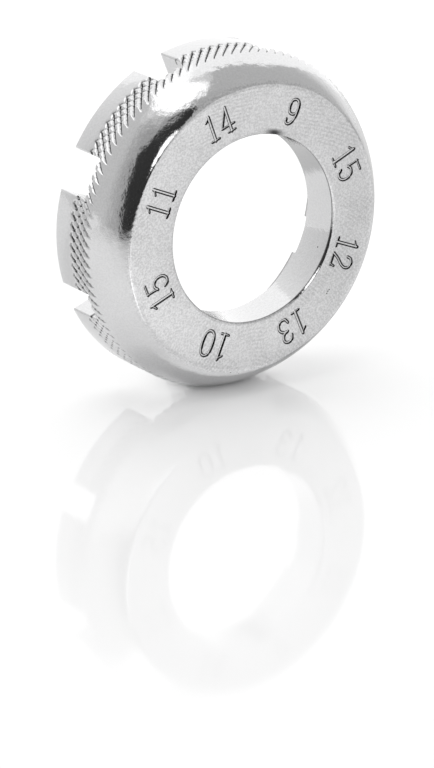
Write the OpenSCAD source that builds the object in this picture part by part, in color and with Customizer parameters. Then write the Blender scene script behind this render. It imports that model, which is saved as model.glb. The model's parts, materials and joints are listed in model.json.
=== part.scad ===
// Round spoke wrench: one plated casting, a flanged ring with a grooved grip band
// and eight graded slots in its back skirt.
// It stands on its edge, with the numbered front face towards -Y and the slots open towards +Y.
// The origin is on the floor, under the middle of the ring.

/* [Ring] */
// Diameter over the rim and the grip band
outer_d = 37; // [32:0.5:44]
// Thickness from the front face to the back rim
thickness = 9.9; // [8.5:0.1:13]
// Diameter of the through bore
bore_d = 20.5; // [16:0.1:23]
// Thickness of the flange that carries the numbers
flange_t = 4.7; // [4:0.1:6.5]

/* [Shoulder] */
// Diameter of the flat front face, at its crease with the shoulder
face_d = 31.2; // [28:0.2:33]
// Depth of the shoulder, from the front face to the straight side
shoulder_h = 4.4; // [3:0.1:5]
// Rise of the shoulder's curve above a straight cone
shoulder_bulge = 0.25; // [0.1:0.05:0.8]

/* [Grip] */
// Number of slanted grooves round the grip band
groove_count = 102; // [40:1:120]
// Slant of the grooves, from the ring's axis
groove_angle = 42; // [0:1:50]
// Depth of the grooves
groove_depth = 0.3; // [0.1:0.05:0.6]
// Width of the grooves at the surface, square to their run
groove_w = 0.65; // [0.3:0.05:1.2]
// Distance from the front face to the back end of the grooves
groove_end = 7.2; // [5:0.1:8.5]

/* [Back skirt] */
// Wall thickness of the skirt at the back rim
skirt_t = 4.6; // [2.4:0.1:5.5]
// Draft angle of the skirt's inner wall
skirt_draft = 2; // [0:0.5:5]

/* [Slots] */
// Depth of the slots from the back rim
slot_depth = 4.8; // [3.5:0.05:6]
// Angle of the first slot, clockwise from straight up, seen from the front
first_slot_angle = 22; // [0:0.5:45]
// Width of the slot for size 9
slot_9_w = 5.6; // [3:0.05:6.5]
// Width of the slot for size 10
slot_10_w = 5.1; // [3:0.05:6.5]
// Width of the slot for size 11
slot_11_w = 4.5; // [3:0.05:6.5]
// Width of the slot for size 12
slot_12_w = 4.15; // [3:0.05:6.5]
// Width of the slot for size 13
slot_13_w = 3.8; // [3:0.05:6.5]
// Width of the slot for size 14
slot_14_w = 3.45; // [3:0.05:6.5]
// Width of the slot for size 15
slot_15_w = 3.25; // [3:0.05:6.5]
// Width of the second slot for size 15, a looser one
slot_15_loose_w = 3.35; // [3:0.05:6.5]

/* [Edges] */
// Radius on the front edge of the bore
bore_round = 0.45; // [0.1:0.05:1]
// Radius on the crease between the face and the shoulder
face_round = 0.7; // [0.1:0.05:1]
// Radius on the outer edge of the back rim
rim_round = 0.3; // [0.1:0.05:1]
// Radius on the inner edge of the back rim
lip_round = 0.4; // [0.1:0.05:1]
// Fillet where the skirt meets the back of the flange
root_fillet = 0.8; // [0.2:0.1:1.5]

/* [Hidden] */
$fn = 96;
// Steps in each rounded stretch of the section
arc_steps = 8;
// Overlap that lets a cutter pass clear through a face
clear = 1;

outer_r = outer_d / 2;
bore_r = bore_d / 2;
face_r = face_d / 2;
recess_depth = thickness - flange_t;
recess_r = outer_r - skirt_t;
root_r = recess_r - recess_depth * tan(skirt_draft);
side_top = thickness - shoulder_h;

// Slot widths, clockwise from the first slot, seen from the front
slot_widths = [
    slot_9_w,
    slot_15_loose_w,
    slot_12_w,
    slot_13_w,
    slot_10_w,
    slot_15_w,
    slot_11_w,
    slot_14_w,
];
slot_pitch = 360 / len(slot_widths);

// Each groove is straight and touches its own depth at the middle of the band.
groove_pitch = 360 / groove_count;
groove_mid = (shoulder_h + groove_end) / 2;
groove_back = (groove_end - groove_mid) / cos(groove_angle);
groove_front = groove_mid / cos(groove_angle);

// The shoulder is an arc from the face's crease to the straight side that carries the grip band.
crease = [face_r, thickness];
side_front = [outer_r, side_top];
shoulder_chord = norm(side_front - crease);
shoulder_r = pow(shoulder_chord, 2) / (8 * shoulder_bulge) + shoulder_bulge / 2;
chord_dir = (side_front - crease) / shoulder_chord;
chord_normal = [-chord_dir[1], chord_dir[0]];
shoulder_centre = (crease + side_front) / 2 - (shoulder_r - shoulder_bulge) * chord_normal;

// The crease is rounded by a circle that touches the face and the shoulder's arc from inside.
crease_y = thickness - face_round;
crease_x = shoulder_centre[0]
    + sqrt(pow(shoulder_r - face_round, 2) - pow(crease_y - shoulder_centre[1], 2));
crease_centre = [crease_x, crease_y];

function direction(from, to) = atan2(to[1] - from[1], to[0] - from[0]);

function arc(centre, r, start, end) = [
    for (i = [0:arc_steps])
        let (a = start + (end - start) * i / arc_steps)
            centre + r * [cos(a), sin(a)]
];

// Half section of the ring: x is the radius, y the height above the back rim.
module ring_section() {
    touch_angle = direction(shoulder_centre, crease_centre);
    side_angle = direction(shoulder_centre, side_front);
    // The fillet's circle touches the flange's back and the drafted skirt wall.
    root_x = root_r - root_fillet * (1 - sin(skirt_draft)) / cos(skirt_draft);
    polygon(concat(
        arc([bore_r + bore_round, thickness - bore_round], bore_round, 180, 90),
        arc(crease_centre, face_round, 90, touch_angle),
        arc(shoulder_centre, shoulder_r, touch_angle, side_angle),
        arc([outer_r - rim_round, rim_round], rim_round, 0, -90),
        arc([recess_r + lip_round, lip_round], lip_round, -90, -180),
        arc([root_x, recess_depth - root_fillet], root_fillet, skirt_draft, 90),
        [[bore_r, recess_depth]]
    ));
}

// One parallel-sided slot, cut from the bore out through the skirt
module slot_cut(width) {
    translate([-width / 2, 0, -clear])
        cube([width, outer_r + clear, slot_depth + clear]);
}

// One V groove of the grip, from its back end out through the shoulder
module grip_groove() {
    reach = groove_depth + clear;
    half_w = groove_w / 2 * reach / groove_depth;
    translate([0, outer_r - groove_depth, thickness - groove_mid])
        rotate([0, -groove_angle, 0])
            translate([0, 0, -groove_back])
                linear_extrude(groove_back + groove_front)
                    polygon([[0, 0], [half_w, reach], [-half_w, reach]]);
}

// The casting, lying on its back rim with the face up
module casting() {
    difference() {
        rotate_extrude() ring_section();
        for (i = [0:len(slot_widths) - 1])
            rotate([0, 0, -(first_slot_angle + i * slot_pitch)]) slot_cut(slot_widths[i]);
        for (i = [0:groove_count - 1])
            rotate([0, 0, -i * groove_pitch]) grip_groove();
    }
}

// The casting, stood on its edge
module wrench_ring() {
    color("silver")
        translate([0, thickness / 2, outer_r])
            rotate([90, 0, 0]) casting();
}

wrench_ring();
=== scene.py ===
# Round spoke wrench standing on a glossy white sheet, after the product photo
import json
import math
import bpy
from mathutils import Matrix, Vector

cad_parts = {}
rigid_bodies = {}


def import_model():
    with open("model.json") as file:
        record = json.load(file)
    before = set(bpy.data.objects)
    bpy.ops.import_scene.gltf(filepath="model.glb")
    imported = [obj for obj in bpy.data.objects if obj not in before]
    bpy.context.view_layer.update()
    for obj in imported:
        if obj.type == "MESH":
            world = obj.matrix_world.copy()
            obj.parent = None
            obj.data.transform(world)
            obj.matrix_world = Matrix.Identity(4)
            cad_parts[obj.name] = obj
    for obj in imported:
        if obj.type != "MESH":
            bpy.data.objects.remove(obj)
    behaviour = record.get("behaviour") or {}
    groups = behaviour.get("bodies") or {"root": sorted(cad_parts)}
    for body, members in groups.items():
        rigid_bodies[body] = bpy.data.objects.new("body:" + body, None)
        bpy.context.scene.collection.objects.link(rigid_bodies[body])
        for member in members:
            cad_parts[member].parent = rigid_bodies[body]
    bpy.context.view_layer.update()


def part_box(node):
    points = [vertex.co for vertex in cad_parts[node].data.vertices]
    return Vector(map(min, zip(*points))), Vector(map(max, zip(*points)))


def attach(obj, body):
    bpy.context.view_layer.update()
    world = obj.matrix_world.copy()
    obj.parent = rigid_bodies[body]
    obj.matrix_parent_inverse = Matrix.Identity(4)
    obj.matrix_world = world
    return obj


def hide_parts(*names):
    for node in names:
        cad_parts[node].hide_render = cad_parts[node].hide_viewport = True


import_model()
mm = 0.001

scene = bpy.context.scene
scene.view_settings.view_transform = "Standard"

# what the frame already knows about the ring
lowCorner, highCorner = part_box("wrench_ring")
outerRadius = (highCorner.z - lowCorner.z) / 2 / mm
thickness = (highCorner.y - lowCorner.y) / mm
axisHeight = (highCorner.z + lowCorner.z) / 2
frontY = lowCorner.y
faceMiddle = Vector((0, frontY, axisHeight))
print("frame: radius", round(outerRadius, 2), "mm, thickness", round(thickness, 2), "mm")


# small helpers

def newMesh(name, verts, faces):
    mesh = bpy.data.meshes.new(name)
    mesh.from_pydata(verts, [], faces)
    mesh.validate()
    mesh.update()
    return mesh


def newObject(name, data, collection=None):
    obj = bpy.data.objects.new(name, data)
    (collection or scene.collection).objects.link(obj)
    return obj


def bakeModifiers(obj):
    # the evaluated shape becomes the object's plain mesh
    bpy.context.view_layer.update()
    graph = bpy.context.evaluated_depsgraph_get()
    shape = obj.evaluated_get(graph)
    mesh = bpy.data.meshes.new_from_object(shape, preserve_all_data_layers=True, depsgraph=graph)
    old = obj.data
    obj.modifiers.clear()
    obj.data = mesh
    mesh.name = obj.name
    bpy.data.meshes.remove(old)


def faceOutward(mesh):
    # the sum is three times the volume, and below zero where the faces point inward
    start = mesh.vertices[0].co
    if sum(p.area * p.normal.dot(p.center - start) for p in mesh.polygons) < 0:
        mesh.flip_normals()


def ringPoint(radius, angle, depth):
    # mm and degrees clockwise from the top, seen from the front; depth is behind the face
    a = math.radians(angle)
    return (radius * math.sin(a) * mm, frontY + depth * mm, axisHeight + radius * math.cos(a) * mm)


def ringAxes(angle):
    # outward and clockwise, at an angle round the ring
    a = math.radians(angle)
    return Vector((math.sin(a), 0, math.cos(a))), Vector((math.cos(a), 0, -math.sin(a)))


def doMath(tree, operation, *values):
    node = tree.nodes.new("ShaderNodeMath")
    node.operation = operation
    for socket, value in zip(node.inputs, values):
        if isinstance(value, (int, float)):
            socket.default_value = value
        else:
            tree.links.new(value, socket)
    return node.outputs[0]


def times(tree, first, *others):
    for other in others:
        first = doMath(tree, "MULTIPLY", first, other)
    return first


def hypotenuse(tree, a, b):
    return doMath(tree, "SQRT", doMath(tree, "ADD", times(tree, a, a), times(tree, b, b)))


def ramp(tree, value, start, end, low=0.0, high=1.0):
    node = tree.nodes.new("ShaderNodeMapRange")
    node.interpolation_type = "SMOOTHSTEP"
    tree.links.new(value, node.inputs["Value"])
    node.inputs["From Min"].default_value = start
    node.inputs["From Max"].default_value = end
    node.inputs["To Min"].default_value = low
    node.inputs["To Max"].default_value = high
    return node.outputs["Result"]


def within(tree, value, low, high, soft):
    # 1 between two ends, 0 outside them
    start = ramp(tree, value, low - soft, low + soft)
    return times(tree, start, ramp(tree, value, high - soft, high + soft, 1.0, 0.0))


def distance(tree, where, point):
    node = tree.nodes.new("ShaderNodeVectorMath")
    node.operation = "DISTANCE"
    tree.links.new(where, node.inputs[0])
    node.inputs[1].default_value = point
    return node.outputs["Value"]


# ring body, turned from one section; the grip band is left dense for the knurl

ring = {
    "boreRadius": 10.25,
    "boreRound": 0.45,
    "boreTurn": 50.0,      # degrees that the bore's front edge turns through before the wall
    "boreBack": 0.06,      # round on the bore's back edge
    "flange": 4.7,
    "faceRadius": 15.6,
    "creaseRound": 0.85,
    "shoulderDepth": 4.4,
    "shoulderBulge": 0.25,
    "skirt": 4.6,
    "draft": 2.0,
    "rimRound": 0.3,
    "lipRound": 0.4,
    "rootFillet": 0.8,
    "sharp": 32.0,         # degrees between two faces, from which an edge is sharp
}
knurl = {
    "teeth": 102,          # grooves round the band, each way
    "helix": 42.0,         # degrees from the axis
    "depth": 0.36,         # mm, the set that runs forward to the left
    "crossDepth": 0.12,    # mm, the set across it
    "crossFront": 4.6,     # mm behind the face where the set across begins
    "groove": 0.40,        # half width of a groove, in pitches
    "hollow": 1.5,         # power of the groove's wall, 1 is straight
    "back": 7.2,           # mm behind the face where the roller stopped
    "fade": 0.6,           # mm over which a groove runs out
    "steps": 8,            # mesh columns to a pitch
    "lead": 1.4,           # mm of dense mesh on the shoulder
    "tail": 0.05,          # mm of dense mesh behind the grooves
}
recessRadius = outerRadius - ring["skirt"]
boreEdge = ring["boreRound"] * (1 - math.cos(math.radians(ring["boreTurn"])))
grooveTwist = knurl["teeth"] * math.tan(math.radians(knurl["helix"])) / (2 * math.pi * outerRadius)
rowStep = 1 / grooveTwist / knurl["steps"]
bandMiddle = (ring["shoulderDepth"] + knurl["back"]) / 2
columns = knurl["teeth"] * knurl["steps"]


# plated finish

plating = {
    "colour": (0.70, 0.70, 0.705, 1.0),
    "roughness": 0.075,
    "polish": (-0.015, 0.025),  # how the roughness varies
    "noiseSpan": (0.3, 0.7),  # where most values of a noise lie
    "grain": 0.2,          # mm, size of the cast grain under the plate
    "tone": (0.84, 1.1),   # darkest and lightest of the grain
    "offFace": 0.3,        # share of the grain's tone that is left away from the face
    "swell": 0.9,          # mm, slow waves of the casting
    "cloud": 3.5,          # mm, patches of flow lines and of polish
    "ripple": 0.42,        # mm from crest to crest of the fine flow lines
    "wander": 9.0,         # how far the flow lines stray, and over what scale
    "wanderScale": 0.07,
    "patches": (0.4, 0.65),  # cloud values where the flow lines come in
    "lineTone": (1.03, 0.92),  # painted shading of the flow lines, lighter beside them and darker on them
    "faceEnd": (0.15, 0.6),  # mm behind the face where the flow lines end
    "swellHeight": 4.0,    # heights of the waves and of the flow lines, the grain's being 1
    "lineHeight": 0.35,
    "bump": 0.45,
    "bumpHeight": 0.012,   # mm
}
# depths and radii in mm, groove phases in pitches, turns clockwise from the top;
# a third value is the softness of both ends
# painted shade in the bottoms of the knurl's grooves, in the numbers' grooves and along the edges of the bore
# and the lands, with a real smudge and pits; it darkens the plate and makes it rougher
grooveShadeAndDirt = {
    "strength": 0.9,
    "roughness": 0.2,
    "figureDepth": (0.015, 0.13, 0.012),
    "figureRadius": (11.0, 14.9, 0.1),
    "leftEnd": (-0.22, -0.19),  # turns where the stretch at the left ends
    "leftShift": 0.1,      # there the painted shade sits higher, on the wall that shows,
    "leftShare": 0.45,     # and is thinner between the crossings
    "groove": (0.43, 0.57, 0.04),
    "rung": (0.36, 0.62, 0.05),  # at a crossing, with a fainter tail
    "tail": (0.6, 0.98, 0.04),
    "tailShare": 0.6,
    "cross": (0.37, 0.63, 0.06),
    "crossDepth": (knurl["crossFront"] - 0.5, knurl["crossFront"] + 0.3),
    "bandDepth": (4.0, knurl["back"] - 0.1, 0.15),
    "bandRadius": (outerRadius - 0.8, outerRadius - 0.6),
    "boreDepth": (boreEdge - 0.02, boreEdge + 0.12, 0.03),
    "boreReach": (ring["boreRadius"] + 0.04, ring["boreRadius"] + 0.08),
    "boreShare": 0.8,
    "lipDepth": (thickness - 0.5, thickness - 0.3),
    "lipRadius": (recessRadius - 0.1, recessRadius + 0.3, 0.06),
    "lipShare": 0.7,
    "smudgeTurn": (0.022, 0.05, 0.012),  # dark patch at the top of the bore's edge
    "smudgeReach": (ring["boreRadius"] + 0.25, ring["boreRadius"] + 0.8),
    "pitSize": (0.05 * mm, 0.11 * mm),
    # radius, degrees and depth of each
    "pits": [(13.05, 130.0, 0.0), (13.03, 131.0, 0.0), (13.07, 132.2, 0.0), (10.25, 112.6, 1.54),
             (15.75, 189.5, 0.2), (15.95, 185.0, 0.45)],
}


def grooveShadeAndDirtMask(tree, where, turn, radius, depth):
    # painted shade in the grooves of the numbers
    mask = times(tree, within(tree, depth, *grooveShadeAndDirt["figureDepth"]), within(tree, radius, *grooveShadeAndDirt["figureRadius"]))
    # painted shade in the bottoms of the knurl's grooves, as they are pressed below
    around = doMath(tree, "MULTIPLY_ADD", turn, float(knurl["teeth"]), 0.5)
    along = times(tree, doMath(tree, "SUBTRACT", depth, bandMiddle), grooveTwist)
    main = doMath(tree, "FRACT", doMath(tree, "SUBTRACT", around, along))
    cross = doMath(tree, "FRACT", doMath(tree, "ADD", around, along))
    main = doMath(tree, "ADD", main, ramp(tree, turn, *grooveShadeAndDirt["leftEnd"], grooveShadeAndDirt["leftShift"], 0.0))
    thinner = ramp(tree, turn, *grooveShadeAndDirt["leftEnd"], grooveShadeAndDirt["leftShare"], 1.0)
    groove = times(tree, within(tree, main, *grooveShadeAndDirt["groove"]), thinner)
    tail = times(tree, within(tree, main, *grooveShadeAndDirt["tail"]), grooveShadeAndDirt["tailShare"])
    rung = doMath(tree, "MAXIMUM", within(tree, main, *grooveShadeAndDirt["rung"]), tail)
    crossings = times(tree, within(tree, cross, *grooveShadeAndDirt["cross"]), rung, ramp(tree, depth, *grooveShadeAndDirt["crossDepth"]))
    onBand = times(tree, within(tree, depth, *grooveShadeAndDirt["bandDepth"]), ramp(tree, radius, *grooveShadeAndDirt["bandRadius"]))
    bottoms = times(tree, doMath(tree, "MAXIMUM", groove, crossings), onBand)
    # painted shade along the edges of the bore and of the lands
    boreLine = times(tree, within(tree, depth, *grooveShadeAndDirt["boreDepth"]),
                     ramp(tree, radius, *grooveShadeAndDirt["boreReach"], 1.0, 0.0), grooveShadeAndDirt["boreShare"])
    lipLine = times(tree, ramp(tree, depth, *grooveShadeAndDirt["lipDepth"]), within(tree, radius, *grooveShadeAndDirt["lipRadius"]),
                    grooveShadeAndDirt["lipShare"])
    smudge = times(tree, within(tree, turn, *grooveShadeAndDirt["smudgeTurn"]),
                   ramp(tree, radius, *grooveShadeAndDirt["smudgeReach"], 1.0, 0.0))
    for patch in (bottoms, boreLine, lipLine, smudge):
        mask = doMath(tree, "MAXIMUM", mask, patch)
    for pit in grooveShadeAndDirt["pits"]:
        away = distance(tree, where, ringPoint(*pit))
        mask = doMath(tree, "MAXIMUM", mask, ramp(tree, away, *grooveShadeAndDirt["pitSize"], 1.0, 0.0))
    return times(tree, mask, grooveShadeAndDirt["strength"])


def makePlating():
    mat = bpy.data.materials.new("bright nickel plate")
    mat.use_nodes = True
    tree = mat.node_tree
    nodes, links = tree.nodes, tree.links
    shader = nodes["Principled BSDF"]
    shader.inputs["Metallic"].default_value = 1.0
    where = nodes.new("ShaderNodeTexCoord").outputs["Object"]
    split = nodes.new("ShaderNodeSeparateXYZ")
    links.new(where, split.inputs[0])
    x, y, z = split.outputs
    up = doMath(tree, "SUBTRACT", z, axisHeight)
    radius = times(tree, hypotenuse(tree, x, up), 1 / mm)
    depth = times(tree, doMath(tree, "SUBTRACT", y, frontY), 1 / mm)
    turn = doMath(tree, "DIVIDE", doMath(tree, "ARCTAN2", x, up), 2 * math.pi)
    # painted shade in grooves and along edges, with a real smudge and pits
    shadeAndDirt = grooveShadeAndDirtMask(tree, where, turn, radius, depth)

    def noise(size, detail):
        node = nodes.new("ShaderNodeTexNoise")
        node.inputs["Scale"].default_value = 1 / (size * mm)
        node.inputs["Detail"].default_value = detail
        links.new(where, node.inputs["Vector"])
        return node.outputs["Fac"]

    grain = noise(plating["grain"], 2.0)
    swell = noise(plating["swell"], 1.5)
    cloud = noise(plating["cloud"], 2.0)
    flow = nodes.new("ShaderNodeTexWave")
    flow.wave_type = "RINGS"
    flow.rings_direction = "Y"
    # the texture's own wave is pi / 10 long at a scale of 1
    flow.inputs["Scale"].default_value = math.pi / 10 / (plating["ripple"] * mm)
    flow.inputs["Distortion"].default_value = plating["wander"]
    flow.inputs["Detail"].default_value = 1.0
    flow.inputs["Detail Scale"].default_value = plating["wanderScale"]
    links.new(where, flow.inputs["Vector"])
    onFace = ramp(tree, depth, *plating["faceEnd"], 1.0, 0.0)
    lines = times(tree, flow.outputs["Fac"], ramp(tree, cloud, *plating["patches"]), onFace)

    speckle = doMath(tree, "SUBTRACT", ramp(tree, grain, *plating["noiseSpan"], *plating["tone"]), 1.0)
    share = doMath(tree, "MULTIPLY_ADD", onFace, 1 - plating["offFace"], plating["offFace"])
    speckle = doMath(tree, "MULTIPLY_ADD", speckle, share, 1.0)
    # the plate's colour is darkened by the painted shade and the dirt marks
    unshadedClean = doMath(tree, "SUBTRACT", 1.0, shadeAndDirt)
    # the flow lines' tone is painted shading of their ripples
    shade = times(tree, speckle, ramp(tree, lines, 0.0, 1.0, *plating["lineTone"]), unshadedClean)
    tone = nodes.new("ShaderNodeMixRGB")
    tone.blend_type = "MULTIPLY"
    tone.inputs[0].default_value = 1.0
    tone.inputs[1].default_value = plating["colour"]
    links.new(shade, tone.inputs[2])
    links.new(tone.outputs[0], shader.inputs["Base Color"])

    polish = ramp(tree, cloud, *plating["noiseSpan"], *plating["polish"])
    rough = doMath(tree, "ADD", polish, plating["roughness"])
    rough = doMath(tree, "MULTIPLY_ADD", shadeAndDirt, grooveShadeAndDirt["roughness"], rough)
    links.new(rough, shader.inputs["Roughness"])

    height = doMath(tree, "MULTIPLY_ADD", swell, plating["swellHeight"], grain)
    height = doMath(tree, "MULTIPLY_ADD", lines, plating["lineHeight"], height)
    bump = nodes.new("ShaderNodeBump")
    bump.inputs["Strength"].default_value = plating["bump"]
    bump.inputs["Distance"].default_value = plating["bumpHeight"] * mm
    links.new(height, bump.inputs["Height"])
    links.new(bump.outputs["Normal"], shader.inputs["Normal"])
    return mat


plate = makePlating()
print("finish: plate made")


def arc(centre, radius, start, end, steps):
    # angles in degrees, 0 towards larger radius, 90 towards the front
    out = []
    for i in range(steps + 1):
        a = math.radians(start + (end - start) * i / steps)
        out.append((centre[0] + radius * math.cos(a), centre[1] - radius * math.sin(a)))
    return out


def ringSection():
    # closed list of (radius, depth), and the first and last dense row of the grip band
    crease = Vector((ring["faceRadius"], 0.0))
    side = Vector((outerRadius, ring["shoulderDepth"]))
    chord = side - crease
    bulge = ring["shoulderBulge"]
    shoulderRadius = chord.length_squared / (8 * bulge) + bulge / 2
    outward = Vector((chord.y, -chord.x)).normalized()
    centre = (crease + side) / 2 - (shoulderRadius - bulge) * outward

    def radiusAt(depth):
        if depth >= ring["shoulderDepth"]:
            return outerRadius
        return min(centre.x + math.sqrt(shoulderRadius ** 2 - (depth - centre.y) ** 2), outerRadius)

    # the crease's circle touches the face and the shoulder from inside
    creaseRound = ring["creaseRound"]
    inside = shoulderRadius - creaseRound
    creaseX = centre.x + math.sqrt(inside ** 2 - (centre.y - creaseRound) ** 2)
    creaseCentre = Vector((creaseX, creaseRound))
    touch = math.degrees(math.atan2(centre.y - creaseCentre.y, creaseCentre.x - centre.x))

    bore = ring["boreRadius"]
    boreRound = ring["boreRound"]
    boreTurn = ring["boreTurn"]
    boreCentre = (bore + boreRound * math.sin(math.radians(boreTurn)), boreRound)
    section = arc(boreCentre, boreRound, 90 + boreTurn, 90, steps=5)
    section += arc(creaseCentre, creaseRound, 90, touch, steps=6)

    firstRow = math.ceil((ring["shoulderDepth"] - knurl["lead"] - bandMiddle) / rowStep)
    lastRow = math.ceil((knurl["back"] + knurl["tail"] - bandMiddle) / rowStep)
    rows = [bandMiddle + i * rowStep for i in range(firstRow, lastRow + 1)]
    startAngle = math.degrees(math.asin((centre.y - rows[0]) / shoulderRadius))
    section += arc(centre, shoulderRadius, touch, startAngle, steps=9)[1:-1]
    bandStart = len(section)
    section += [(radiusAt(depth), depth) for depth in rows]
    bandEnd = len(section) - 1

    rimRound = ring["rimRound"]
    section += arc((outerRadius - rimRound, thickness - rimRound), rimRound, 0, -90, steps=5)
    lipRound = ring["lipRound"]
    section += arc((recessRadius + lipRound, thickness - lipRound), lipRound, -90, -180, steps=4)
    draft = math.radians(ring["draft"])
    root = recessRadius - (thickness - ring["flange"]) * math.tan(draft)
    fillet = ring["rootFillet"]
    rootX = root - fillet * (1 - math.sin(draft)) / math.cos(draft)
    section += arc((rootX, ring["flange"] + fillet), fillet, ring["draft"], 90, steps=6)
    edge = ring["boreBack"]
    section += arc((bore + edge, ring["flange"] - edge), edge, -90, -180, steps=3)
    return section, bandStart, bandEnd


def makeRing():
    section, bandStart, bandEnd = ringSection()
    count = len(section)
    verts = []
    for j in range(columns):
        verts += [ringPoint(r, 360 * j / columns, d) for r, d in section]
    faces = []
    for j in range(columns):
        k = (j + 1) % columns
        for i in range(count):
            n = (i + 1) % count
            corner = (j * count + i, j * count + n, k * count + n, k * count + i)
            if bandStart <= i < bandEnd:
                # a middle point lets both sets of grooves run along clean edges
                (r0, d0), (r1, d1) = section[i], section[n]
                middle = len(verts)
                verts.append(ringPoint((r0 + r1) / 2, 360 * (j + 0.5) / columns, (d0 + d1) / 2))
                faces += [(corner[s], corner[(s + 1) % 4], middle) for s in range(4)]
            else:
                faces.append(corner)
    return newObject("plated_ring", newMesh("plated_ring", verts, faces))


wrench = makeRing()
print("ring: section turned,", len(wrench.data.polygons), "faces")


# knurl, pressed into the band by geometry nodes

knurlInputs = {
    "Axis height": axisHeight,
    "Front": frontY,
    "Middle": bandMiddle * mm,
    "Radius": outerRadius * mm,
    "Teeth": float(knurl["teeth"]),
    "Twist": grooveTwist / mm,
    "Depth": knurl["depth"] * mm,
    "Cross depth": knurl["crossDepth"] * mm,
    "Cross front": knurl["crossFront"] * mm,
    "Groove": knurl["groove"],
    "Hollow": knurl["hollow"],
    "Back": knurl["back"] * mm,
    "Fade": knurl["fade"] * mm,
}


def knurlTree():
    tree = bpy.data.node_groups.new("pressed knurl", "GeometryNodeTree")
    tree.interface.new_socket("Geometry", in_out="INPUT", socket_type="NodeSocketGeometry")
    for name in knurlInputs:
        tree.interface.new_socket(name, in_out="INPUT", socket_type="NodeSocketFloat")
    tree.interface.new_socket("Finish", in_out="INPUT", socket_type="NodeSocketMaterial")
    tree.interface.new_socket("Geometry", in_out="OUTPUT", socket_type="NodeSocketGeometry")
    nodes, links = tree.nodes, tree.links
    given = nodes.new("NodeGroupInput").outputs
    split = nodes.new("ShaderNodeSeparateXYZ")
    links.new(nodes.new("GeometryNodeInputPosition").outputs[0], split.inputs[0])
    x = split.outputs["X"]
    z = doMath(tree, "SUBTRACT", split.outputs["Z"], given["Axis height"])
    depth = doMath(tree, "SUBTRACT", split.outputs["Y"], given["Front"])
    radius = hypotenuse(tree, x, z)
    turn = doMath(tree, "DIVIDE", doMath(tree, "ARCTAN2", x, z), 2 * math.pi)
    around = times(tree, turn, given["Teeth"])
    along = times(tree, doMath(tree, "SUBTRACT", depth, given["Middle"]), given["Twist"])

    def fadeIn(start, end):
        share = doMath(tree, "DIVIDE", doMath(tree, "SUBTRACT", end, start), given["Fade"])
        return doMath(tree, "MINIMUM", doMath(tree, "MAXIMUM", share, 0.0), 1.0)

    def grooves(operation, deep):
        phase = doMath(tree, "FRACT", doMath(tree, "ADD", doMath(tree, operation, around, along), 0.5))
        away = doMath(tree, "ABSOLUTE", doMath(tree, "SUBTRACT", phase, 0.5))
        share = doMath(tree, "SUBTRACT", 1.0, doMath(tree, "DIVIDE", away, given["Groove"]))
        share = doMath(tree, "POWER", doMath(tree, "MAXIMUM", share, 0.0), given["Hollow"])
        return times(tree, share, given[deep])

    # the set across runs out to the front, and both sets to the back
    crossCut = times(tree, grooves("ADD", "Cross depth"), fadeIn(given["Cross front"], depth))
    cut = doMath(tree, "MAXIMUM", grooves("SUBTRACT", "Depth"), crossCut)
    cut = times(tree, cut, fadeIn(depth, given["Back"]))
    floorRadius = doMath(tree, "SUBTRACT", given["Radius"], cut)
    scale = doMath(tree, "DIVIDE", doMath(tree, "MINIMUM", radius, floorRadius), radius)
    moved = nodes.new("ShaderNodeCombineXYZ")
    links.new(times(tree, x, scale), moved.inputs["X"])
    links.new(split.outputs["Y"], moved.inputs["Y"])
    links.new(doMath(tree, "ADD", times(tree, z, scale), given["Axis height"]), moved.inputs["Z"])
    setPosition = nodes.new("GeometryNodeSetPosition")
    links.new(given["Geometry"], setPosition.inputs["Geometry"])
    links.new(moved.outputs[0], setPosition.inputs["Position"])
    realize = nodes.new("GeometryNodeRealizeInstances")
    links.new(setPosition.outputs[0], realize.inputs[0])
    setFinish = nodes.new("GeometryNodeSetMaterial")
    links.new(realize.outputs[0], setFinish.inputs["Geometry"])
    links.new(given["Finish"], setFinish.inputs["Material"])
    links.new(setFinish.outputs[0], nodes.new("NodeGroupOutput").inputs[0])
    return tree


def pressKnurl(obj):
    tree = knurlTree()
    modifier = obj.modifiers.new("knurl", "NODES")
    modifier.node_group = tree
    values = {**knurlInputs, "Finish": plate}
    for item in tree.interface.items_tree:
        if item.in_out == "INPUT" and item.name in values:
            modifier[item.identifier] = values[item.name]
    bakeModifiers(obj)


pressKnurl(wrench)
print("knurl: pressed")


# cutters for the slots and the numbers

cutters = bpy.data.collections.new("cutters")
scene.collection.children.link(cutters)

slots = {
    "firstAngle": 22.0,    # degrees clockwise from the top
    "pitch": 45.0,
    "widths": [5.6, 3.35, 4.15, 3.8, 5.1, 3.25, 4.5, 3.45],  # mm, clockwise
    "depth": 4.8,          # mm from the back rim
    "edge": 0.3,           # mm, round on the mouth edges
    "edgeSteps": 4,
    "skin": 0.08,          # mm that an edge's cutter stands out of the metal
    "clear": 1.0,          # mm that a slot's cutter passes beyond the metal
    "edgeClear": 0.5,      # the same for an edge's cutter, outward and back
    "lipClear": 0.3,       # and inward
    "floorGap": 0.02,      # mm that an edge's cutter stays off the slot's floor
}


def prism(name, outline, start, end):
    # a straight bar: outline points swept from the start offset to the end offset
    count = len(outline)
    verts = [p + start for p in outline] + [p + end for p in outline]
    faces = [tuple(range(count)), tuple(range(2 * count - 1, count - 1, -1))]
    faces += [(i, i + count, (i + 1) % count + count, (i + 1) % count) for i in range(count)]
    newObject(name, newMesh(name, verts, faces), cutters)


def edgeOutline(corner, into, down, radius):
    # what a rounded edge takes off, with a little extra outside the metal
    skin = slots["skin"] * mm
    steps = slots["edgeSteps"]
    points = [corner - into * skin - down * skin, corner + into * radius - down * skin]
    for i in range(steps + 1):
        a = math.radians(90 * i / steps)
        points.append(corner + into * radius * (1 - math.sin(a)) + down * radius * (1 - math.cos(a)))
    points.append(corner - into * skin + down * radius)
    return points


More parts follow.
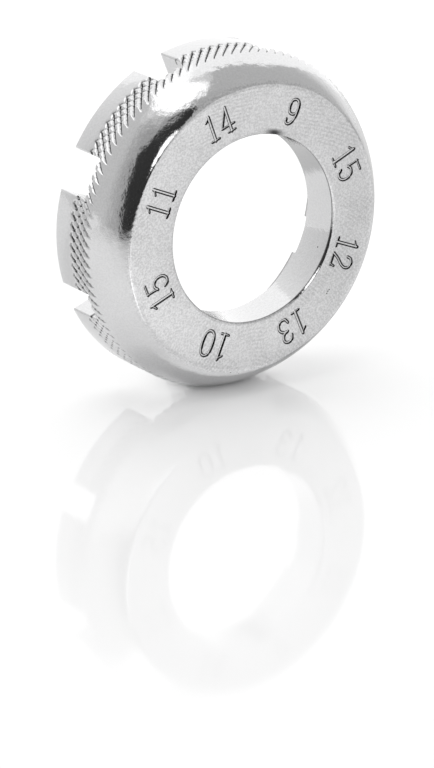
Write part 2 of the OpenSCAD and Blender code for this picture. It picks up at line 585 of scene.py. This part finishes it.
def cutSlot(index, width):
    out, across = ringAxes(slots["firstAngle"] + slots["pitch"] * index)
    back = Vector((0, 1, 0))
    half = width / 2 * mm
    floorDepth = (thickness - slots["depth"]) * mm
    end = back * (thickness + slots["clear"]) * mm
    box = [faceMiddle + across * half * s + back * floorDepth for s in (-1, 1)]
    box += [faceMiddle + across * half * s + end for s in (1, -1)]
    prism("slot_%d" % index, box, out * 0.0, out * (outerRadius + slots["clear"]) * mm)
    radius = slots["edge"] * mm
    rim = faceMiddle + back * thickness * mm
    inner = out * ((recessRadius - slots["lipClear"]) * mm)
    outer = out * (outerRadius + slots["edgeClear"]) * mm
    low = back * (floorDepth + slots["floorGap"] * mm)
    high = back * (thickness + slots["edgeClear"]) * mm
    reach = math.sqrt((outerRadius * mm) ** 2 - half ** 2)
    for side in (-1, 1):
        wall = across * side
        outline = edgeOutline(rim + wall * half, wall, -back, radius)
        prism("rim_edge_%d" % index, outline, inner, outer)
        normal = (wall * half + out * reach).normalized()
        tangent = (wall - normal * wall.dot(normal)).normalized()
        corner = faceMiddle + wall * half + out * reach
        outline = edgeOutline(corner, tangent, -normal, radius)
        prism("side_edge_%d" % index, outline, low, high)


for index, width in enumerate(slots["widths"]):
    cutSlot(index, width)

numbers = {
    "height": 3.05,        # mm
    "spacing": 1.88,       # mm between two figures
    # for each slot, degrees from its middle and mm from the axis
    "places": [("9", -0.85, 12.95), ("15", -1.5, 13.04), ("12", -1.0, 12.75), ("13", -1.1, 12.88),
               ("10", 0.05, 12.95), ("15", 0.4, 12.92), ("11", 0.45, 12.8), ("14", 1.75, 12.92)],
    "depth": 0.14,         # mm
    "proud": 0.05,         # mm that a cutter stands out of the face
    "lean": 0.21,          # mm that each groove wall leans in
    "weight": 1.36,        # width of the pen
    "leastPen": 0.008,     # half width left at the bottom of a groove, in parts of the height
    "endAngles": (75, 45, 20),  # steps of a pen stroke's round end, in degrees
    "curveSteps": 5,       # steps between two points of a curve
}
# pen strokes of each figure, in parts of its height: half width of the pen, then points
strokes = {
    "0": [(0.062, "loop", [(0.0, 0.95), (0.17, 0.84), (0.22, 0.5), (0.17, 0.16), (0.0, 0.05), (-0.17, 0.16),
                           (-0.22, 0.5), (-0.17, 0.84)])],
    "1": [(0.068, "line", [(0.0, 0.06), (0.0, 0.95)]),
          (0.05, "line", [(0.0, 0.93), (-0.15, 0.82)]),
          (0.055, "line", [(-0.14, 0.05), (0.14, 0.05)])],
    "2": [(0.062, "curve", [(-0.19, 0.73), (-0.15, 0.87), (0.0, 0.95), (0.16, 0.88), (0.2, 0.72),
                            (0.12, 0.53), (-0.05, 0.33), (-0.19, 0.1)]),
          (0.055, "line", [(-0.2, 0.06), (0.2, 0.06)]),
          (0.05, "line", [(0.19, 0.06), (0.23, 0.2)])],
    "3": [(0.062, "curve", [(-0.18, 0.78), (-0.13, 0.9), (0.01, 0.95), (0.15, 0.88), (0.18, 0.74),
                            (0.1, 0.59), (-0.05, 0.54)]),
          (0.062, "curve", [(-0.05, 0.54), (0.11, 0.49), (0.21, 0.34), (0.18, 0.15), (0.03, 0.05),
                            (-0.14, 0.09), (-0.2, 0.22)])],
    "4": [(0.05, "line", [(0.08, 0.93), (-0.24, 0.3)]),
          (0.052, "line", [(-0.24, 0.28), (0.25, 0.28)]),
          (0.066, "line", [(0.09, 0.95), (0.09, 0.06)]),
          (0.05, "line", [(-0.04, 0.05), (0.22, 0.05)])],
    "5": [(0.055, "line", [(-0.15, 0.93), (0.18, 0.93)]),
          (0.05, "line", [(-0.15, 0.93), (-0.16, 0.52)]),
          (0.062, "curve", [(-0.16, 0.52), (-0.03, 0.59), (0.12, 0.55), (0.21, 0.39), (0.19, 0.18),
                            (0.06, 0.05), (-0.1, 0.06), (-0.19, 0.18)])],
    "9": [(0.062, "loop", [(0.0, 0.95), (0.14, 0.88), (0.19, 0.68), (0.14, 0.49), (0.0, 0.42), (-0.14, 0.49),
                           (-0.19, 0.68), (-0.14, 0.88)]),
          (0.062, "curve", [(0.19, 0.68), (0.18, 0.42), (0.1, 0.18), (-0.04, 0.06), (-0.16, 0.1),
                            (-0.18, 0.2)])],
}


def smoothPath(points, closed):
    # a spline through the points
    count = len(points)
    steps = numbers["curveSteps"]
    pts = [Vector(p) for p in points]
    out = []
    last = count if closed else count - 1
    for i in range(last):
        p1, p2 = pts[i], pts[(i + 1) % count]
        p0 = pts[i - 1] if closed or i > 0 else p1 + (p1 - p2)
        p3 = pts[(i + 2) % count] if closed or i + 2 < count else p2 + (p2 - p1)
        for step in range(steps):
            t = step / steps
            out.append(0.5 * (2 * p1 + (p2 - p0) * t + (2 * p0 - 5 * p1 + 4 * p2 - p3) * t ** 2
                              + (3 * p1 - p0 - 3 * p2 + p3) * t ** 3))
    if not closed:
        out.append(pts[-1])
    return out


def penSections(points, pen, closed):
    # places along the stroke with direction and half width; open ends are rounded off
    count = len(points)
    out = []
    for i, p in enumerate(points):
        before = points[i - 1] if closed or i > 0 else p
        after = points[(i + 1) % count] if closed or i + 1 < count else p
        out.append((p, (after - before).normalized(), pen))
    if closed:
        return out
    heads, tails = [], []
    for a in numbers["endAngles"]:
        shift, share = pen * math.sin(math.radians(a)), math.cos(math.radians(a))
        heads.append((out[0][0] - out[0][1] * shift, out[0][1], pen * share))
        tails.insert(0, (out[-1][0] + out[-1][1] * shift, out[-1][1], pen * share))
    return heads + out + tails


def cutStroke(name, middle, across, up, stroke):
    pen, kind, points = stroke
    pen *= numbers["weight"]
    closed = kind == "loop"
    path = [Vector(p) for p in points] if kind == "line" else smoothPath(points, closed)
    height = numbers["height"] * mm
    deep = numbers["depth"] * mm
    above = numbers["proud"] * mm
    lean = numbers["lean"] / numbers["height"]
    verts, faces = [], []
    sections = penSections(path, pen, closed)
    for p, way, half in sections:
        side = Vector((-way.y, way.x))
        low = max(half - lean, numbers["leastPen"])
        for reach, depth in ((half, -above), (-half, -above), (-low, deep), (low, deep)):
            q = p + side * reach
            verts.append(middle + across * q.x * height + up * (q.y - 0.5) * height + Vector((0, depth, 0)))
    count = len(sections)
    for i in range(count if closed else count - 1):
        n = (i + 1) % count
        faces += [(4 * i + c, 4 * i + (c + 1) % 4, 4 * n + (c + 1) % 4, 4 * n + c) for c in range(4)]
    if not closed:
        faces += [(3, 2, 1, 0), tuple(4 * (count - 1) + c for c in range(4))]
    newObject(name, newMesh(name, verts, faces), cutters)


def cutNumber(text, angle, radius):
    up, across = ringAxes(angle)
    middle = faceMiddle + up * radius * mm
    for place, figure in enumerate(text):
        shift = (place - (len(text) - 1) / 2) * numbers["spacing"] * mm
        for stroke in strokes[figure]:
            cutStroke("figure_" + figure, middle + across * shift, across, up, stroke)


for index, (text, shift, radius) in enumerate(numbers["places"]):
    cutNumber(text, slots["firstAngle"] + slots["pitch"] * index + shift, radius)

for solid in [*cutters.objects, wrench]:
    faceOutward(solid.data)

cut = wrench.modifiers.new("cut", "BOOLEAN")
cut.operation = "DIFFERENCE"
cut.operand_type = "COLLECTION"
cut.collection = cutters
cut.solver = "MANIFOLD"
bakeModifiers(wrench)
for cutter in list(cutters.objects):
    mesh = cutter.data
    bpy.data.objects.remove(cutter)
    bpy.data.meshes.remove(mesh)
bpy.data.collections.remove(cutters)
wrench.data.materials.clear()
wrench.data.materials.append(plate)
wrench.data.polygons.foreach_set("use_smooth", [True] * len(wrench.data.polygons))
wrench.data.set_sharp_from_angle(angle=math.radians(ring["sharp"]))
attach(wrench, "root")
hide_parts("wrench_ring")
print("ring: slots and numbers cut,", len(wrench.data.polygons), "faces")


# glossy white sheet, round, thinning out a little way in front of the ring

sheet = {
    "white": 0.9,
    "roughness": 0.06,
    "corners": 128,
    "centre": (0.13, 0.197),
    "radius": 0.45,        # m
    "fade": (0.27, 0.45),  # m from its centre, where it thins out to nothing
    "seen": 0.24,          # lift to white for the camera
    "rest": (0.0, 0.002, 0.0),  # where the ring stands
    "contact": (0.001, 0.009),  # m from the rest, where the painted contact shadow gives way to the lift
    # painted reflections, lifts that only the metal sees in the sheet, and where each begins and ends, in m
    "mirrored": (0.02, 0.24),  # beside the ring and in front of it to the left
    "mirroredSpan": (0.02, -0.06),
    "behind": 0.13,        # behind the ring
    "behindSpan": (0.0, 0.012),
    "near": 0.15,          # at the foot of the ring
    "nearSpan": (0.012, 0.045),
    "foot": (-0.004, -0.018, 0.0),
    "toe": (-0.12, 0.2),   # painted shade under the ring and painted light just in front of its shadow
    "toeStart": (-0.0028, -0.0034),
    "toeEnd": (-0.008, -0.012),
    "toeSpan": (0.008, 0.016),
    "glint": 0.5,          # painted glint, a streak of light that runs forward from the ring
    "glintAcross": (0.78, -0.62),  # direction square to the streak
    "glintSides": (-0.0085, -0.0035, 0.001),
    "glintStart": (-0.016, -0.022),
    "shaded": 0.22,        # painted shade, how much darker the metal sees the sheet at the right of the ring
    "shadedSlope": -0.31,
    "shadedSpan": (-0.0095, -0.0065),
    "shadedStart": (0.005, 0.009),
}


def makeSheet():
    count = sheet["corners"]
    cx, cy = sheet["centre"]
    verts = [(cx + sheet["radius"] * math.cos(2 * math.pi * i / count),
              cy + sheet["radius"] * math.sin(2 * math.pi * i / count), 0.0) for i in range(count)]
    obj = newObject("white_sheet", newMesh("white_sheet", verts, [tuple(range(count))]))
    mat = bpy.data.materials.new("glossy white sheet")
    mat.use_nodes = True
    tree = mat.node_tree
    links = tree.links
    shader = tree.nodes["Principled BSDF"]
    shader.inputs["Roughness"].default_value = sheet["roughness"]
    shader.inputs["Emission Color"].default_value = (1, 1, 1, 1)
    where = tree.nodes.new("ShaderNodeTexCoord").outputs["Object"]
    split = tree.nodes.new("ShaderNodeSeparateXYZ")
    links.new(where, split.inputs[0])
    x, y = split.outputs["X"], split.outputs["Y"]
    fromRest = distance(tree, where, sheet["rest"])
    fromCentre = distance(tree, where, (cx, cy, 0.0))
    links.new(ramp(tree, fromCentre, *sheet["fade"], 1.0, 0.0), shader.inputs["Alpha"])

    # away from the camera
    backward = doMath(tree, "ADD", x, y)
    # painted reflections: emission that only the metal's rays see, set by place on the sheet
    lift = ramp(tree, backward, *sheet["mirroredSpan"], *sheet["mirrored"])
    near = ramp(tree, distance(tree, where, sheet["foot"]), *sheet["nearSpan"], sheet["near"], 0.0)
    behind = ramp(tree, backward, *sheet["behindSpan"], 0.0, sheet["behind"])
    acrossX, acrossY = sheet["glintAcross"]
    off = doMath(tree, "MULTIPLY_ADD", x, acrossX, times(tree, y, acrossY))
    glint = times(tree, within(tree, off, *sheet["glintSides"]),
                  ramp(tree, x, *sheet["glintStart"], 0.0, sheet["glint"]))
    toe = times(tree, ramp(tree, y, *sheet["toeStart"], *sheet["toe"]),
                ramp(tree, y, *sheet["toeEnd"], 1.0, 0.0), ramp(tree, fromRest, *sheet["toeSpan"], 1.0, 0.0))
    for more in (near, behind, glint, toe):
        lift = doMath(tree, "ADD", lift, more)
    # painted shade that the metal sees in the sheet at the right of the ring
    sloped = doMath(tree, "MULTIPLY_ADD", x, sheet["shadedSlope"], y)
    shade = times(tree, ramp(tree, sloped, *sheet["shadedSpan"]), ramp(tree, x, *sheet["shadedStart"]))
    lift = times(tree, lift, doMath(tree, "SUBTRACT", 1.0, shade))

    path = tree.nodes.new("ShaderNodeLightPath").outputs
    metal = doMath(tree, "MAXIMUM", path["Is Glossy Ray"], path["Is Transmission Ray"])
    darker = times(tree, shade, metal, -sheet["shaded"] * sheet["white"])
    links.new(doMath(tree, "ADD", darker, sheet["white"]), shader.inputs["Base Color"])
    # the camera sees the sheet lifted to white, except near the rest, which is a painted contact shadow
    seen = times(tree, path["Is Camera Ray"], ramp(tree, fromRest, *sheet["contact"], 0.0, sheet["seen"]))
    links.new(doMath(tree, "ADD", seen, times(tree, metal, lift)), shader.inputs["Emission Strength"])
    obj.data.materials.append(mat)


makeSheet()
print("stage: sheet laid")


# studio round the object, by direction: azimuth from the front, + to the right, then elevation

studio = {
    "brightest": 2.0,      # tops of the ramps round the compass, in light and in degrees
    "zenith": 90.0,
    "walls": [(-180, 1.0), (-160, 0.86), (-140, 0.72), (-114, 0.71), (-82, 0.68), (-74, 0.49), (-66, 0.43),
              (0, 0.5), (50, 0.56), (96, 0.58), (106, 0.6), (116, 0.95), (180, 1.0)],
    "gap": 0.04,           # dark room round the camera
    "gapSides": (-67.7, 12),
    "gapSoft": 1.5,
    "gapLean": (0.0, -0.33),  # how its two edges lean to the right as they rise
    "gapTop": (-0.115, 0.923, 0.367),  # the ceiling's front edge, as a plane through the ring
    "gapTopSoft": (-0.02, 0.05),
    "box": 1.7,            # small softbox beside the camera
    "boxMiddle": (-16, 14.5),  # the second is its height at the front; it rises to the left
    "boxReach": (24, 11.5),
    "boxSlope": 0.72,
    "boxSoft": (0.75, 1.2),
    "card": 0.8,           # low card at the front right
    "cardSides": (17, 75, 3.0),
    "cardTop": (19, 25),
    "slit": 0.95,          # bright strip at the left, low down
    "slitSides": (-98, -87, 2.0),
    "slitTop": (-3, 3),
    "slitBottom": (-10, -6),
    "above": [(-180, 1.5), (-130, 1.4), (-100, 1.6), (20, 1.6), (45, 1.45), (62, 0.9), (80, 0.8), (100, 0.95),
              (150, 1.4), (180, 1.5)],
    "aboveEdge": [(-180, 50), (-150, 56), (-125, 70), (-105, 71), (-85, 66.5), (-60, 65.5), (-43, 66.5),
                  (-20, 71), (0, 74), (40, 77), (100, 77), (140, 70), (160, 55), (180, 50)],
    "aboveSoft": (-3.0, 3.0),
    "spill": 0.25,         # share of the light above that spills below its edge at the left
    "spillRise": (-12.0, -3.0),
    "spillSides": (-88, -58, 6.0),
    "panel": 1.2,          # white panel at the right, with an edge that slopes up to a top corner
    "panelSide": (120, 124),
    "panelSlope": 0.5,
    "panelCorner": 44,
}


def stops(tree, value, pairs, top):
    # a ramp round the compass; it holds parts of the top value
    node = tree.nodes.new("ShaderNodeValToRGB")
    tree.links.new(value, node.inputs[0])
    points = node.color_ramp.elements
    while len(points) < len(pairs):
        points.new(0.5)
    # all the places first, then the levels
    for point, pair in zip(points, pairs):
        point.position = (pair[0] + 180) / 360
    for point, pair in zip(points, pairs):
        point.color = (pair[1] / top, pair[1] / top, pair[1] / top, 1)
    return times(tree, node.outputs["Color"], top)


def makeStudio():
    world = bpy.data.worlds.new("studio")
    scene.world = world
    world.use_nodes = True
    tree = world.node_tree
    nodes, links = tree.nodes, tree.links
    toward = nodes.new("ShaderNodeTexCoord").outputs["Generated"]
    split = nodes.new("ShaderNodeSeparateXYZ")
    links.new(toward, split.inputs[0])
    x, y, z = split.outputs
    angle = doMath(tree, "ARCTAN2", x, times(tree, y, -1.0))
    side = times(tree, angle, 180 / math.pi)
    turn = doMath(tree, "MULTIPLY_ADD", angle, 0.5 / math.pi, 0.5)
    rise = times(tree, doMath(tree, "ARCSINE", z), 180 / math.pi)

    def blend(under, over, share):
        kept = times(tree, under, doMath(tree, "SUBTRACT", 1.0, share))
        return doMath(tree, "ADD", kept, times(tree, share, over))

    level = stops(tree, turn, studio["walls"], studio["brightest"])
    edge = nodes.new("ShaderNodeVectorMath")
    edge.operation = "DOT_PRODUCT"
    links.new(toward, edge.inputs[0])
    edge.inputs[1].default_value = studio["gapTop"]
    gap = ramp(tree, edge.outputs["Value"], *studio["gapTopSoft"], 1.0, 0.0)
    soft = studio["gapSoft"]
    for limit, lean, first, last in zip(studio["gapSides"], studio["gapLean"], (0.0, 1.0), (1.0, 0.0)):
        leaning = doMath(tree, "MULTIPLY_ADD", rise, -lean, side)
        gap = times(tree, gap, ramp(tree, leaning, limit - soft, limit + soft, first, last))
    level = blend(level, studio["gap"], gap)

    tilted = doMath(tree, "MULTIPLY_ADD", side, studio["boxSlope"], rise)
    away = []
    for value, middle, reach in zip((side, tilted), studio["boxMiddle"], studio["boxReach"]):
        share = doMath(tree, "DIVIDE", doMath(tree, "SUBTRACT", value, middle), reach)
        away.append(times(tree, share, share))
    box = ramp(tree, doMath(tree, "ADD", *away), *studio["boxSoft"], 1.0, 0.0)
    level = blend(level, studio["box"], box)

    card = times(tree, within(tree, side, *studio["cardSides"]),
                 ramp(tree, rise, *studio["cardTop"], 1.0, 0.0))
    level = blend(level, studio["card"], card)
    slit = times(tree, within(tree, side, *studio["slitSides"]),
                 ramp(tree, rise, *studio["slitTop"], 1.0, 0.0), ramp(tree, rise, *studio["slitBottom"]))
    level = blend(level, studio["slit"], slit)

    overhead = doMath(tree, "SUBTRACT", rise, stops(tree, turn, studio["aboveEdge"], studio["zenith"]))
    lit = times(tree, ramp(tree, overhead, *studio["spillRise"], 0.0, studio["spill"]),
                within(tree, side, *studio["spillSides"]))
    lit = doMath(tree, "MAXIMUM", lit, ramp(tree, overhead, *studio["aboveSoft"]))
    level = blend(level, stops(tree, turn, studio["above"], studio["brightest"]), lit)

    corner = doMath(tree, "MINIMUM", rise, studio["panelCorner"])
    sloped = doMath(tree, "MULTIPLY_ADD", corner, studio["panelSlope"], side)
    panel = ramp(tree, sloped, *studio["panelSide"], 0.0, studio["panel"])
    level = doMath(tree, "MAXIMUM", level, panel)

    seen = nodes.new("ShaderNodeLightPath").outputs["Is Camera Ray"]
    background = nodes["Background"]
    background.inputs["Color"].default_value = (1, 1, 1, 1)
    links.new(blend(level, 1.0, seen), background.inputs["Strength"])


makeStudio()
print("studio: lit")


# camera, at the photo's angle

view = {
    "azimuth": -34.89,     # degrees, from the front towards the left
    "elevation": 19.39,
    "roll": 0.95,
    "place": (-0.23304, -0.33274, 0.14272),
    "lens": 187.5,
    "sensor": 36.0,
    "nearest": 0.01,       # m
}


def makeCamera():
    data = bpy.data.cameras.new("photo_camera")
    data.lens = view["lens"]
    data.sensor_width = view["sensor"]
    data.clip_start = view["nearest"]
    obj = newObject("photo_camera", data)
    turn = Matrix.Rotation(math.radians(view["azimuth"]), 4, "Z")
    tip = Matrix.Rotation(math.radians(90 - view["elevation"]), 4, "X")
    roll = Matrix.Rotation(math.radians(view["roll"]), 4, "Z")
    obj.matrix_world = Matrix.Translation(view["place"]) @ turn @ tip @ roll
    scene.camera = obj


makeCamera()
print("camera: set")
